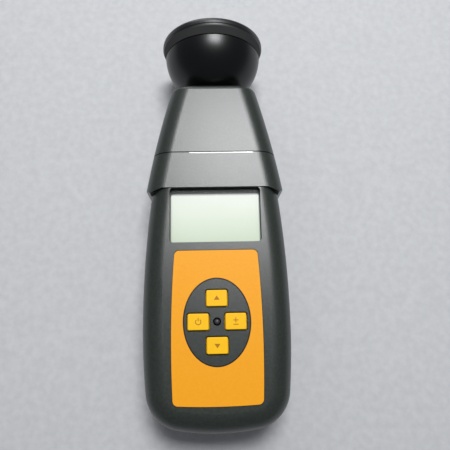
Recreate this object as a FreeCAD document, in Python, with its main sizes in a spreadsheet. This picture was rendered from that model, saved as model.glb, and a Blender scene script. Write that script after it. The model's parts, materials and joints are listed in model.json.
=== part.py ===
import FreeCAD, Part
import math
import os
import re
import Sketcher

# Handheld xenon stroboscope. +X is to the right of the display, +Y runs to the lamp and +Z comes
# out of the front. The origin is on the flat back, on the centre line, behind the display's middle.
# Distances whose names start with at_ are measured along Y from the tail end of the case.

doc = FreeCAD.newDocument("Stroboscope")
sheet = doc.addObject("Spreadsheet::Sheet", "Sizes")
NODES = []
UP = FreeCAD.Vector(0, 0, 1)
ALONG_Y = FreeCAD.Rotation(FreeCAD.Vector(1, 0, 0), -90)
FACE_TOLERANCE = 0.01

# Driving dimensions, in millimetres

SIZES = {
    # Case
    "tail_offset": 105.4,  # tail end to origin, along Y
    "side_room": 6.1,  # battery bay wall to the side of the case, at its widest place
    "case_depth": 37.0,  # flat back to flat face
    "wall_thickness": 2.2,  # moulded housing
    "split_height": 18.5,  # parting plane of the two shells
    "parting_gap": 0.5,  # shadow groove between the two shells
    "at_widest": 54.3,  # widest place of the case
    "side_radius_low": 336.0,  # side curve from the tail to the widest place
    "side_radius_high": 530.0,  # side curve from the widest place to the hood
    "tail_taper": 3.5,  # tail corner further in than the widest place, each side
    "tail_radius": 112.0,  # curve of the tail end
    "tail_corner_radius": 19.0,  # rounding between side and tail
    "front_edge_radius": 10.5,  # rounding of the front rim
    "back_edge_radius": 5.0,  # rounding of the back rim
    # Hood, seam and head
    "hood_step": 0.6,  # hood and head stand this far above the face
    "hood_length": 18.9,  # straight lower edge of the hood to the seam
    "hood_edge_inset": 10.0,  # end of that edge, from the side of the case
    "notch_drop": 2.1,  # foot of the slanted side notch, below that edge
    "notch_inset": 3.6,  # foot of the notch, from the side of the case
    "lip_rise": 0.3,  # side lip of the hood, above that edge
    "lip_inset": 1.0,  # side lip, from the side of the case
    "at_seam": 138.4,  # gap between body and head
    "seam_gap": 0.5,  # open joint between body and head
    "head_length": 38.4,  # seam to the end wall of the head
    "head_taper": 14.0,  # head end further in than the widest place, each side
    "head_side_radius": 520.0,  # side curve of hood and head
    "head_end_radius": 3.0,  # rounding of the head end
    "neck_length": 6.0,  # tongue of the body inside the head
    "neck_wall": 1.8,  # thickness of that tongue
    "neck_clearance": 0.15,  # between tongue and head
    # Display and front panel
    "window_width": 46.2,  # display opening
    "window_gap": 4.2,  # front panel to the display opening
    "window_corner": 2.0,  # corner radius of the display opening
    "window_recess": 2.6,  # face to window pane
    "window_margin": 1.3,  # pane beyond the opening, each side
    "pane_thickness": 1.2,  # window pane
    "glass_thickness": 2.8,  # display glass, two plates
    "glass_margin": 0.9,  # display glass beyond the opening
    "holder_wall": 1.4,  # wall of the display holder
    "strip_width": 2.4,  # conductive rubber strip
    "panel_half_top": 20.5,  # front panel, half width at its top
    "panel_half_low": 21.1,  # front panel, half width at its foot
    "panel_side_radius": 560.0,  # front panel, side curve
    "panel_foot_radius": 336.0,  # front panel, foot curve
    "at_panel_upper": 86.95,  # front panel, upper edge
    "at_panel_low": 14.4,  # front panel, lower corners
    "panel_corner": 2.5,  # front panel, corner radius
    "panel_thickness": 0.7,  # front panel
    "panel_gap": 0.25,  # groove round the front panel
    "keypad_half_width": 16.2,  # grey ellipse
    "keypad_half_height": 20.8,  # grey ellipse
    "at_keypad": 52.3,  # centre of the keypad
    # Keys and keypad
    "key_width": 10.1,  # key cap along X
    "key_height": 7.8,  # key cap along Y
    "key_corner": 0.8,  # corner radius of a key cap
    "key_gap": 0.4,  # key cap to its well
    "key_proud": 0.3,  # key cap above the face
    "key_reach_x": 9.05,  # keypad centre to the side keys
    "key_reach_y": 11.15,  # keypad centre to the upper and lower keys
    "key_flange": 1.0,  # flange beyond the cap
    "key_flange_depth": 0.9,  # flange thickness
    "key_play": 0.3,  # flange to the inside of the face
    "stem_radius": 1.9,  # key stem
    "stem_length": 2.1,  # key stem below its flange
    "dome_play": 0.25,  # key stem to rubber dome
    "dome_radius": 3.6,  # rubber dome at its foot
    "dome_top_radius": 2.3,  # rubber dome at its top
    "dome_skin": 0.6,  # rubber dome wall
    "mat_thickness": 1.1,  # rubber mat
    "mat_half_width": 16.0,  # rubber mat
    "mat_half_height": 19.5,  # rubber mat
    "led_radius": 1.5,  # indicator lamp
    "led_hole_radius": 2.0,  # hole for the indicator lamp
    "led_sink": 0.8,  # indicator lamp below the face
    # Circuit boards and what they carry
    "board_thickness": 1.6,  # circuit boards
    "board_inset": 10.0,  # main board, from the side of the case
    "at_board_low": 27.5,  # main board, tail end
    "board_setback": 14.8,  # main board, lamp end to the seam
    "board_drop": 12.6,  # face to the back of the main board
    "board_corner": 2.0,  # corner radius of the boards
    "post_radius": 2.4,  # board posts
    "post_root": 0.5,  # board posts, sunk into the wall
    "post_inset": 5.0,  # board posts, from the side of the board
    "at_post_low": 32.0,  # lower board posts
    "at_post_top": 82.5,  # upper board posts
    "board_screw_radius": 1.0,  # board screw shank
    "board_screw_length": 5.0,  # board screw shank
    "board_screw_head": 1.9,  # board screw head radius
    "screw_head_depth": 1.5,  # screw head thickness
    "screw_slot": 0.5,  # cross recess width
    "slot_margin": 0.75,  # cross recess to the rim of the head
    "hv_half_width": 17.0,  # flash board
    "hv_room": 14.5,  # flash board, lamp end to the head end
    "hv_height": 7.5,  # flash board, back face above the case's back
    "hv_post_x": 13.0,  # flash board posts
    "hv_post_setback": 13.9,  # upper flash board posts to the seam
    "hv_post_reach": 25.0,  # between lower and upper flash board posts
    "hv_post_margin": 4.0,  # lower flash board posts to the end of that board
    "chip_size": 12.0,  # microcontroller
    "chip_depth": 1.6,  # microcontroller
    "crystal_length": 11.0,  # crystal can
    "crystal_width": 4.6,  # crystal can
    "crystal_depth": 3.6,  # crystal can
    "crystal_corner": 2.0,  # crystal can
    "capacitor_radius": 6.0,  # flash capacitor
    "capacitor_length": 27.5,  # flash capacitor
    "capacitor_gap": 3.5,  # upper flash board posts to the capacitor
    "core_width": 14.0,  # inverter transformer
    "core_length": 16.0,  # inverter transformer
    "core_depth": 10.5,  # inverter transformer
    "core_leg": 3.0,  # inverter transformer core legs
    "coil_radius": 4.0,  # trigger coil
    "coil_length": 13.0,  # trigger coil
    "coil_flange": 1.0,  # trigger coil flanges
    # Battery bay, door and screws
    "cell_count": 4,  # number of cells
    "cell_radius": 7.1,  # AA cell
    "cell_length": 49.2,  # AA cell without its nub
    "nub_radius": 2.7,  # AA cell nub
    "nub_length": 1.2,  # AA cell nub
    "cell_spacing": 14.7,  # between neighbouring cells
    "cell_play": 0.45,  # outer cells to the side of the bay
    "cell_height": 9.8,  # axis of the cells above the back
    "at_bay_low": 14.1,  # battery bay, tail end
    "bay_wall": 1.3,  # battery bay walls
    "bay_floor": 1.3,  # battery bay floor
    "contact_thickness": 0.4,  # battery contacts
    "contact_half": 4.6,  # battery contacts, half width
    "contact_play": 0.1,  # cells to their contact plates
    "leaf_reach": 3.2,  # battery leaf springs, from the bay wall
    "door_thickness": 2.2,  # battery door
    "door_lap": 0.4,  # battery door wider than the bay, each side
    "door_clearance": 0.15,  # battery door to its groove
    "tongue_width": 1.2,  # battery door's side tongues
    "tongue_depth": 0.9,  # battery door's side tongues
    "door_reach": 1.9,  # battery door beyond the bay, towards the lamp
    "grip_half_width": 11.0,  # grip grooves in the door
    "grip_width": 1.2,  # one grip groove
    "grip_depth": 0.6,  # one grip groove
    "grip_spacing": 2.6,  # between grip grooves
    "at_grip": 12.0,  # first grip groove
    "grip_count": 6,  # number of grip grooves
    "boss_radius": 3.2,  # screw bosses
    "boss_flare": 0.55,  # rear bosses wider than the front ones
    "case_screw_radius": 1.4,  # case screw shank
    "case_screw_head": 2.6,  # case screw head radius
    "case_screw_length": 22.0,  # case screw shank
    "pilot_play": 0.05,  # front boss hole round a case screw
    "screw_play": 0.15,  # clearance round screws
    "upper_screw_inset": 12.0,  # upper case screws, from the side of the case
    "upper_screw_setback": 11.3,  # upper case screws to the seam
    "lower_screw_inset": 21.0,  # lower case screws, from the side of the case
    "lower_screw_gap": 5.4,  # lower case screws to the battery bay
    "upper_screw_sink": 2.0,  # screw seat below the back
    "lower_screw_sink": 4.0,  # screw seat under the door
    "head_screw_x": 20.0,  # head screws
    "head_screw_rise": 8.5,  # head screws beyond the seam
    "head_screw_length": 8.0,  # head screw shank
    "lug_radius": 3.0,  # lugs for the head screws
    "lug_depth": 8.5,  # lugs for the head screws
    # Lamp cup, ring and lamp
    "lamp_height": 20.0,  # lamp axis above the back
    "cup_radius": 27.0,  # lamp cup
    "cup_wall": 2.2,  # lamp cup
    "cup_foot_radius": 9.7,  # flat foot of the cup on the head end
    "cup_seat_gap": 0.3,  # cup to head end
    "cup_neck_radius": 8.5,  # cup neck
    "cup_neck_length": 11.0,  # cup neck below the cup
    "cup_neck_wall": 1.7,  # cup neck
    "cup_floor": 2.3,  # cup floor thickness
    "ring_setback": 1.45,  # rear edge of the cup's ring behind the cup's centre
    "ring_groove": 0.7,  # open groove between cup and ring
    "ring_length": 8.9,  # ring along Y
    "ring_step": 1.6,  # ring wider than the cup
    "ring_band": 5.0,  # tapered rear band of the ring
    "ring_band_step": 1.5,  # how far that band narrows towards the tail
    "ring_edge": 0.3,  # step between the bands and on the lip
    "ring_lip_radius": 2.4,  # rounded front lip of the ring
    "ring_lip_width": 5.6,  # front lip of the ring, radially
    "ring_lip_depth": 2.1,  # front lip of the ring, along Y
    "collar_wall": 2.0,  # cup collar inside the ring
    "collar_play": 0.1,  # cup collar to ring
    "lens_thickness": 1.4,  # front lens at its edge
    "lens_bulge": 1.2,  # front lens, height of its crown
    "gasket_thickness": 0.6,  # lens gasket
    "nut_wall": 2.4,  # ring nut of the lamp cup
    "nut_length": 3.6,  # ring nut of the lamp cup
    "hub_wall": 2.6,  # thickened end wall round the neck
    "hub_length": 4.0,  # thickened end wall round the neck
    "reflector_skin": 0.9,  # reflector
    "reflector_flange": 0.9,  # reflector rim, from the cup collar
    "reflector_hole": 5.5,  # reflector throat
    "reflector_depth": 20.0,  # reflector rim to throat
    "reflector_curve": 41.7,  # reflector section radius
    "reflector_play": 0.2,  # reflector rim to lens gasket
    "base_length": 5.4,  # ceramic lamp base, wide part
    "base_nose_radius": 5.2,  # ceramic lamp base, nose
    "base_nose_length": 8.0,  # ceramic lamp base, nose
    "tube_radius": 1.7,  # flash tube
    "tube_leg_x": 3.3,  # flash tube legs
    "tube_leg_length": 11.0,  # flash tube legs
    "tube_seat": 2.6,  # flash tube legs inside the base
    "pin_radius": 0.5,  # lamp pins
    "pin_length": 6.5,  # lamp pins beyond the base
    "band_length": 1.4,  # trigger band on a leg
    "band_skin": 0.35,  # trigger band
    "lead_radius": 0.7,  # lamp leads
    "lead_bend": 5.0,  # lamp leads, bend radius
    "lead_run": 4.5,  # lamp leads, straight run from the pin
}

for row, (name, size) in enumerate(SIZES.items(), 1):
    sheet.set("A%d" % row, name)
    sheet.set("B%d" % row, str(size))
    sheet.setAlias("B%d" % row, name)
doc.recompute()

# Expressions


def named(text):
    """Writes an expression for the document: each sheet alias has an underscore in it."""
    return re.sub(r"\b([a-z]+_\w+)\b", r"Sizes.\1", text)


def number(text):
    return float(sheet.evalExpression(named(text)))


def along(text):
    """Turns a distance from the tail end into a Y of the frame."""
    return "(" + text + ") - tail_offset"


def bind(thing, place, text):
    thing.setExpression(place, named(text))


def put(thing, x="0", y="0", z="0", turn=None):
    if turn is not None:
        thing.Placement = FreeCAD.Placement(FreeCAD.Vector(), turn)
    for axis, text in (("x", x), ("y", y), ("z", z)):
        if text != "0":
            bind(thing, "Placement.Base." + axis, text)
    return thing


def node(thing, name):
    """Marks an object as a sub-part: its label names its file."""
    thing.Label = name
    NODES.append(thing)
    return thing


# Primitives and booleans


def block(name, x_low, x_high, y_low, y_high, z_low, z_high):
    thing = doc.addObject("Part::Box", name)
    bind(thing, "Length", "(%s) - (%s)" % (x_high, x_low))
    bind(thing, "Width", "(%s) - (%s)" % (y_high, y_low))
    bind(thing, "Height", "(%s) - (%s)" % (z_high, z_low))
    return put(thing, x_low, y_low, z_low)


def rod(name, radius, length, x="0", y="0", z="0", turn=None):
    thing = doc.addObject("Part::Cylinder", name)
    bind(thing, "Radius", radius)
    bind(thing, "Height", length)
    return put(thing, x, y, z, turn)


def fuse(name, *shapes):
    thing = doc.addObject("Part::MultiFuse", name)
    thing.Shapes = list(shapes)
    thing.Refine = True
    return thing


def cut(name, base, *tools):
    thing = doc.addObject("Part::Cut", name)
    thing.Base = base
    thing.Tool = tools[0] if len(tools) == 1 else fuse(name + "_tools", *tools)
    thing.Refine = True
    return thing


def common(name, first, second):
    thing = doc.addObject("Part::Common", name)
    thing.Base = first
    thing.Tool = second
    thing.Refine = True
    return thing


def group(name, *solids):
    """Keeps several equal solids apart in one sub-part."""
    thing = doc.addObject("Part::Compound", name)
    thing.Links = list(solids)
    return thing


# Sketches and PartDesign features


def arc_of(start, end, radius, turn):
    """The arc from start to end: turn is 1 where it bends left on its way and -1 where it bends right."""
    chord = end.sub(start)
    height = math.sqrt(radius * radius - chord.Length * chord.Length / 4)
    side = FreeCAD.Vector(-chord.y, chord.x, 0).normalize() * (height * turn)
    centre = (start + end) * 0.5 + side
    first, last = (start, end) if turn > 0 else (end, start)
    angles = [math.atan2(p.y - centre.y, p.x - centre.x) for p in (first, last)]
    return Part.ArcOfCircle(Part.Circle(centre, UP, radius), *angles)


def origin_part(body, role):
    return next(f for f in body.Origin.OriginFeatures if f.Role == role)


def outline(body, points, role="XY_Plane", lift="0"):
    """A closed sketch. A point is (x, y), reached by a line, or (x, y, radius, turn), reached by an arc."""
    drawing = body.newObject("Sketcher::SketchObject", body.Name + "_sketch")
    drawing.AttachmentSupport = (origin_part(body, role), [""])
    drawing.MapMode = "FlatFace"
    if lift != "0":
        bind(drawing, "AttachmentOffset.Base.z", lift)
    spots = [FreeCAD.Vector(number(p[0]), number(p[1]), 0) for p in points]
    ends = []
    for index, point in enumerate(points):
        start, end = spots[index - 1], spots[index]
        if len(point) == 2:
            drawing.addGeometry(Part.LineSegment(start, end), False)
            ends.append((1, 2))
        else:
            drawing.addGeometry(arc_of(start, end, number(point[2]), point[3]), False)
            ends.append((1, 2) if point[3] > 0 else (2, 1))
    for index, point in enumerate(points):
        after = (index + 1) % len(points)
        here = (index, ends[index][1])
        drawing.addConstraint(Sketcher.Constraint("Coincident", *here, after, ends[after][0]))
        for kind, text in (("DistanceX", point[0]), ("DistanceY", point[1])):
            rule = drawing.addConstraint(Sketcher.Constraint(kind, -1, 1, *here, number(text)))
            bind(drawing, "Constraints[%d]" % rule, text)
        if len(point) > 2:
            rule = drawing.addConstraint(Sketcher.Constraint("Radius", index, number(point[2])))
            bind(drawing, "Constraints[%d]" % rule, point[2])
    return drawing


def rounded(x, y, half_x, half_y, radius):
    """The points of a rectangle about (x, y) with rounded corners."""
    left, right = "%s - (%s)" % (x, half_x), "%s + (%s)" % (x, half_x)
    low, high = "%s - (%s)" % (y, half_y), "%s + (%s)" % (y, half_y)
    less, more = " - (%s)" % radius, " + (%s)" % radius
    return [
        (right + less, low),
        (right, low + more, radius, 1),
        (right, high + less),
        (right + less, high, radius, 1),
        (left + more, high),
        (left, high + less, radius, 1),
        (left, low + more),
        (left + more, low, radius, 1),
    ]


def pad(name, points, low, high):
    """A PartDesign body: an outline in the XY plane, padded from one height to another."""
    body = doc.addObject("PartDesign::Body", name)
    drawing = outline(body, points, lift=low)
    doc.recompute()
    feature = body.newObject("PartDesign::Pad", name + "_pad")
    feature.Profile = drawing
    bind(feature, "Length", "(%s) - (%s)" % (high, low))
    drawing.Visibility = False
    doc.recompute()
    return body


def turned(name, points):
    """A PartDesign body turned about the lamp axis: points are (radius, distance from the tail end)."""
    body = doc.addObject("PartDesign::Body", name)
    drawing = outline(body, [(p[0], along(p[1])) + tuple(p[2:]) for p in points])
    doc.recompute()
    feature = body.newObject("PartDesign::Revolution", name + "_turn")
    feature.Profile = drawing
    feature.ReferenceAxis = (origin_part(body, "Y_Axis"), [""])
    feature.Angle = 360
    put(body, z="lamp_height")
    doc.recompute()
    return body


def dress(body, kind, size, chosen):
    """Adds a PartDesign fillet or chamfer to the edges of the body's tip that chosen accepts."""
    doc.recompute()
    tip = body.Tip
    names = ["Edge%d" % (i + 1) for i, edge in enumerate(tip.Shape.Edges) if chosen(edge)]
    feature = body.newObject("PartDesign::" + kind, "%s_%s" % (body.Name, kind.lower()))
    feature.Base = (tip, names)
    bind(feature, "Radius" if kind == "Fillet" else "Size", size)
    body.Tip = feature
    doc.recompute()
    return feature


def level(edge, height):
    """True for an edge that lies wholly at one height."""
    box = edge.BoundBox
    return abs(box.ZMin - height) < FACE_TOLERANCE and abs(box.ZMax - height) < FACE_TOLERANCE


def upright(edge, beyond, side):
    """True for an edge along Z whose Y lies beyond a value, on the given side of it."""
    box = edge.BoundBox
    is_upright = box.XLength < FACE_TOLERANCE and box.YLength < FACE_TOLERANCE
    return is_upright and (box.YMin - beyond) * side > -FACE_TOLERANCE


def crosses(edge, y):
    """True for an edge that runs straight across at one Y."""
    return edge.BoundBox.YLength < FACE_TOLERANCE and abs(edge.BoundBox.YMin - y) < FACE_TOLERANCE


# Housing forms: each is the outside of the case, or the same form set in by some thickness


BAY_HALF = "((cell_count - 1) / 2 * cell_spacing + cell_radius + cell_play)"
CASE_HALF = "(" + BAY_HALF + " + bay_wall + side_room)"
TAIL_HALF = "(" + CASE_HALF + " - tail_taper)"
BODY_TOP = "(at_seam - seam_gap / 2)"
HOOD_EDGE = "(at_seam - hood_length)"
HEAD_TOP = "(at_seam + head_length)"


def case_form(name, inset):
    side = "%s - (%s)" % (CASE_HALF, inset)
    corner_x = "%s - (%s)" % (TAIL_HALF, inset)
    corner_y = along("tail_radius - sqrt(tail_radius^2 - %s^2) + (%s)" % (TAIL_HALF, inset))
    top_x = ("%s - side_radius_high + sqrt(side_radius_high^2 - (at_seam - at_widest)^2) - (%s)"
             % (CASE_HALF, inset))
    top_y = along(BODY_TOP)
    low_r, high_r = "side_radius_low - (%s)" % inset, "side_radius_high - (%s)" % inset
    widest = along("at_widest")
    points = [
        (corner_x, corner_y, "tail_radius", 1),
        (side, widest, low_r, 1),
        (top_x, top_y, high_r, 1),
        ("-(%s)" % top_x, top_y),
        ("-(%s)" % side, widest, high_r, 1),
        ("-(%s)" % corner_x, corner_y, low_r, 1),
    ]
    low, high = inset, "case_depth - (%s)" % inset
    form = pad(name, points, low, high)
    tail = number(along("at_bay_low"))
    dress(form, "Fillet", "tail_corner_radius - (%s)" % inset, lambda e: upright(e, tail, -1))
    top = number(top_y)
    front = number(high)
    dress(form, "Fillet", "front_edge_radius - (%s)" % inset,
          lambda e: level(e, front) and not crosses(e, top))
    back = number(low)
    dress(form, "Fillet", "back_edge_radius - (%s)" % inset,
          lambda e: level(e, back) and not crosses(e, top))
    return form


def upper_form(name, inset):
    """Hood and head in one piece, from the slanted notch to the end wall of the head."""
    end_x = "%s - head_taper - (%s)" % (CASE_HALF, inset)
    end_y = along("%s - (%s)" % (HEAD_TOP, inset))
    curve = "head_side_radius - (%s)" % inset
    lip_x, lip_y = "%s - lip_inset - (%s)" % (CASE_HALF, inset), along(HOOD_EDGE + " + lip_rise")
    foot_x, foot_y = "%s - notch_inset - (%s)" % (CASE_HALF, inset), along(HOOD_EDGE + " - notch_drop")
    edge_x, edge_y = CASE_HALF + " - hood_edge_inset", along(HOOD_EDGE)
    points = [
        (edge_x, edge_y),
        (foot_x, foot_y),
        (lip_x, lip_y),
        (end_x, end_y, curve, 1),
        ("-(%s)" % end_x, end_y),
        ("-(%s)" % lip_x, lip_y, curve, 1),
        ("-(%s)" % foot_x, foot_y),
        ("-(%s)" % edge_x, edge_y),
    ]
    low, high = inset, "case_depth + hood_step - (%s)" % inset
    form = pad(name, points, low, high)
    seam, end = number(along("at_seam")), number(end_y)
    front = number(high)
    dress(form, "Fillet", "front_edge_radius - (%s)" % inset,
          lambda e: level(e, front) and e.BoundBox.YMax > seam and not crosses(e, end))
    back = number(low)
    dress(form, "Fillet", "back_edge_radius - (%s)" % inset,
          lambda e: level(e, back) and e.BoundBox.YMax > seam and not crosses(e, end))
    return form


def rounded_head(name, inset):
    """The same form with the rim of its end wall rounded."""
    form = upper_form(name, inset)
    end = number(along("%s - (%s)" % (HEAD_TOP, inset)))
    dress(form, "Fillet", "head_end_radius - (%s)" % inset, lambda e: crosses(e, end))
    return form


def slab(name, y_low, y_high, z_low="-case_depth", z_high="2 * case_depth"):
    """A block wider than the case, to keep one stretch of a form."""
    return block(name, "-2 * " + CASE_HALF, "2 * " + CASE_HALF, y_low, y_high, z_low, z_high)


case_outside = case_form("case_outside", "0")
case_middle = case_form("case_middle", "wall_thickness / 2")
case_inside = case_form("case_inside", "wall_thickness")
upper_outside = rounded_head("upper_outside", "0")
upper_inside = rounded_head("upper_inside", "wall_thickness")
neck_outside = upper_form("neck_outside", "wall_thickness + neck_clearance")
neck_inside = upper_form("neck_inside", "wall_thickness + neck_clearance + neck_wall")

TAIL = along("-tail_corner_radius")
BODY_END = along(BODY_TOP)
HEAD_START = along("at_seam + seam_gap / 2")
FACE = "case_depth"
INNER_FACE = "case_depth - wall_thickness"
HEAD_END = along(HEAD_TOP)

hood = common("hood", upper_outside, slab("hood_stretch", TAIL, BODY_END))
neck_tube = cut("neck_tube", neck_outside, neck_inside)
neck = common("neck", neck_tube, slab("neck_stretch", along("at_seam - wall_thickness"),
                                      along("at_seam + neck_length")))
shell_block = cut("shell_block", fuse("case_and_hood", case_outside, hood), case_inside)
whole_shell = fuse("whole_shell", shell_block, neck)
front_half = common("front_half", whole_shell, slab("front_stretch", TAIL, HEAD_END,
                                                    z_low="split_height"))
rear_block = common("rear_block", whole_shell, slab("rear_stretch", TAIL, HEAD_END,
                                                    z_high="split_height"))
hood_core = common("hood_core", upper_form("upper_core", "parting_gap"),
                   slab("hood_core_stretch", TAIL, BODY_END))
shell_core = fuse("shell_core", case_form("case_core", "parting_gap"), hood_core)
parting = cut("parting_groove", slab("parting_stretch", TAIL, BODY_END, "split_height - parting_gap",
                                     "2 * split_height"), shell_core)
rear_half = cut("rear_half", rear_block, parting)

# Screws


def screw(name, x, y, seat, shank_radius, head_radius, length, points_up):
    """A pan-head screw with a cross recess. Its head lies below the seat where the screw points up."""
    if points_up:
        shank = rod(name + "_shank", shank_radius, length, x, y, seat)
        head = rod(name + "_head", head_radius, "screw_head_depth", x, y, seat + " - screw_head_depth")
        top = seat + " - screw_head_depth"
    else:
        shank = rod(name + "_shank", shank_radius, length, x, y, "%s - (%s)" % (seat, length))
        head = rod(name + "_head", head_radius, "screw_head_depth", x, y, seat)
        top = seat + " + screw_head_depth"
    arm = "(%s - slot_margin)" % head_radius
    sunk = "screw_head_depth / 2"
    slots = []
    for tag, half_x, half_y in (("wide", arm, "screw_slot / 2"), ("tall", "screw_slot / 2", arm)):
        slots.append(block("%s_%s" % (name, tag), "%s - %s" % (x, half_x), "%s + %s" % (x, half_x),
                           "%s - %s" % (y, half_y), "%s + %s" % (y, half_y),
                           "%s - %s" % (top, sunk), "%s + %s" % (top, sunk)))
    return cut(name, fuse(name + "_blank", shank, head), *slots)


def both_sides(x):
    return (("left", "-(%s)" % x), ("right", "(%s)" % x))


CASE_SCREWS = (
    ("upper", CASE_HALF + " - upper_screw_inset", along("at_seam - upper_screw_setback"),
     "upper_screw_sink"),
    ("lower", CASE_HALF + " - lower_screw_inset", along("at_bay_low - lower_screw_gap"),
     "lower_screw_sink"),
)
BOARD_BACK = "(case_depth - board_drop)"
BOARD_FACE = "(" + BOARD_BACK + " + board_thickness)"
BOARD_HALF = "(" + CASE_HALF + " - board_inset)"
POST_X = BOARD_HALF + " - post_inset"
BOARD_POSTS = (("low", along("at_post_low")), ("top", along("at_post_top")))
HV_FACE = "(hv_height + board_thickness)"
HV_TOP = "(" + HEAD_TOP + " - hv_room)"
HV_POST_TOP = "(at_seam - hv_post_setback)"
HV_POST_LOW = "(" + HV_POST_TOP + " - hv_post_reach)"
HV_POSTS = (("low", along(HV_POST_LOW)), ("top", along(HV_POST_TOP)))

# Front shell

WINDOW_LOW = "(at_panel_upper + window_gap)"
WINDOW_MIDDLE = along("(%s + %s) / 2" % (WINDOW_LOW, HOOD_EDGE))
WINDOW_HALF_Y = "(%s - %s) / 2" % (HOOD_EDGE, WINDOW_LOW)
PANE_TOP = "case_depth - window_recess"
KEYPAD_Y = along("at_keypad")
KEYS = (
    ("up", "0", KEYPAD_Y + " + key_reach_y"),
    ("down", "0", KEYPAD_Y + " - key_reach_y"),
    ("left", "-key_reach_x", KEYPAD_Y),
    ("right", "key_reach_x", KEYPAD_Y),
)


def panel_points(grow):
    top, foot = along("at_panel_upper + (%s)" % grow), along("at_panel_low - (%s)" % grow)
    half_top, half_low = "panel_half_top + (%s)" % grow, "panel_half_low + (%s)" % grow
    return [
        (half_low, foot, "panel_foot_radius", 1),
        (half_top, top, "panel_side_radius", 1),
        ("-(%s)" % half_top, top),
        ("-(%s)" % half_low, foot, "panel_side_radius", 1),
    ]


def panel_form(name, grow, low, high):
    form = pad(name, panel_points(grow), low, high)
    everywhere = number(TAIL)
    dress(form, "Fillet", "panel_corner + (%s)" % grow, lambda e: upright(e, everywhere, 1))
    return form


def oval(name, grow, low, high):
    """An elliptical column about the keypad's centre."""
    ring = doc.addObject("Part::Ellipse", name + "_ring")
    bind(ring, "MajorRadius", "keypad_half_height + (%s)" % grow)
    bind(ring, "MinorRadius", "keypad_half_width + (%s)" % grow)
    put(ring, "0", KEYPAD_Y, low, FreeCAD.Rotation(UP, 90))
    column = doc.addObject("Part::Extrusion", name)
    column.Base = ring
    column.DirMode = "Custom"
    column.Dir = UP
    column.Solid = True
    bind(column, "LengthFwd", "(%s) - (%s)" % (high, low))
    return column


def build_front_shell():
    seat = pad("window_seat", rounded("0", WINDOW_MIDDLE, "window_width / 2 + 2 * window_margin",
                                      WINDOW_HALF_Y + " + 2 * window_margin", "window_corner"),
               PANE_TOP, "case_depth - wall_thickness / 2")
    added, bosses = [front_half, seat], []
    holes = [pad("window_opening", rounded("0", WINDOW_MIDDLE, "window_width / 2", WINDOW_HALF_Y,
                                           "window_corner"), "split_height", "2 * case_depth")]
    floor = "case_depth - panel_thickness"
    recess = panel_form("panel_recess", "panel_gap", floor, "case_depth + panel_thickness")
    island = oval("keypad_island", "0", "split_height", "2 * case_depth")
    holes.append(cut("panel_ring", recess, island))
    for key, x, y in KEYS:
        holes.append(pad("key_well_" + key,
                         rounded(x, y, "key_width / 2 + key_gap", "key_height / 2 + key_gap",
                                 "key_corner + key_gap"), "split_height", "2 * case_depth"))
    holes.append(rod("led_hole", "led_hole_radius", "case_depth", "0", KEYPAD_Y, "split_height"))
    for place, x, y, _ in CASE_SCREWS:
        for side, sx in both_sides(x):
            tag = "front_boss_%s_%s" % (place, side)
            bosses.append(rod(tag, "boss_radius", "case_depth - split_height", sx, y, "split_height"))
            holes.append(rod(tag + "_hole", "case_screw_radius + pilot_play",
                             "wall_thickness + case_screw_length - split_height + lower_screw_sink",
                             sx, y, "split_height"))
    added.append(common("front_bosses", fuse("front_boss_rods", *bosses), case_middle))
    for place, y in BOARD_POSTS:
        for side, sx in both_sides(POST_X):
            tag = "board_post_%s_%s" % (place, side)
            added.append(rod(tag, "post_radius", "%s + post_root - %s" % (INNER_FACE, BOARD_FACE),
                             sx, y, BOARD_FACE))
            holes.append(rod(tag + "_hole", "board_screw_radius", "board_screw_length", sx, y, BOARD_FACE))
    return cut("front_shell", fuse("front_shell_blank", *added), *holes)


node(build_front_shell(), "front_shell")

# Rear shell with its battery bay, and the sliding battery door

BAY_LENGTH = "leaf_reach + cell_length + nub_length + contact_thickness + contact_play"
BAY_LOW = along("at_bay_low")
BAY_TOP = along("at_bay_low + " + BAY_LENGTH)
BAY_CEILING = "split_height - bay_floor"
DOOR_HALF = "(" + BAY_HALF + " + door_lap)"
DOOR_TOP = along("at_bay_low + " + BAY_LENGTH + " + door_reach")


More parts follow.
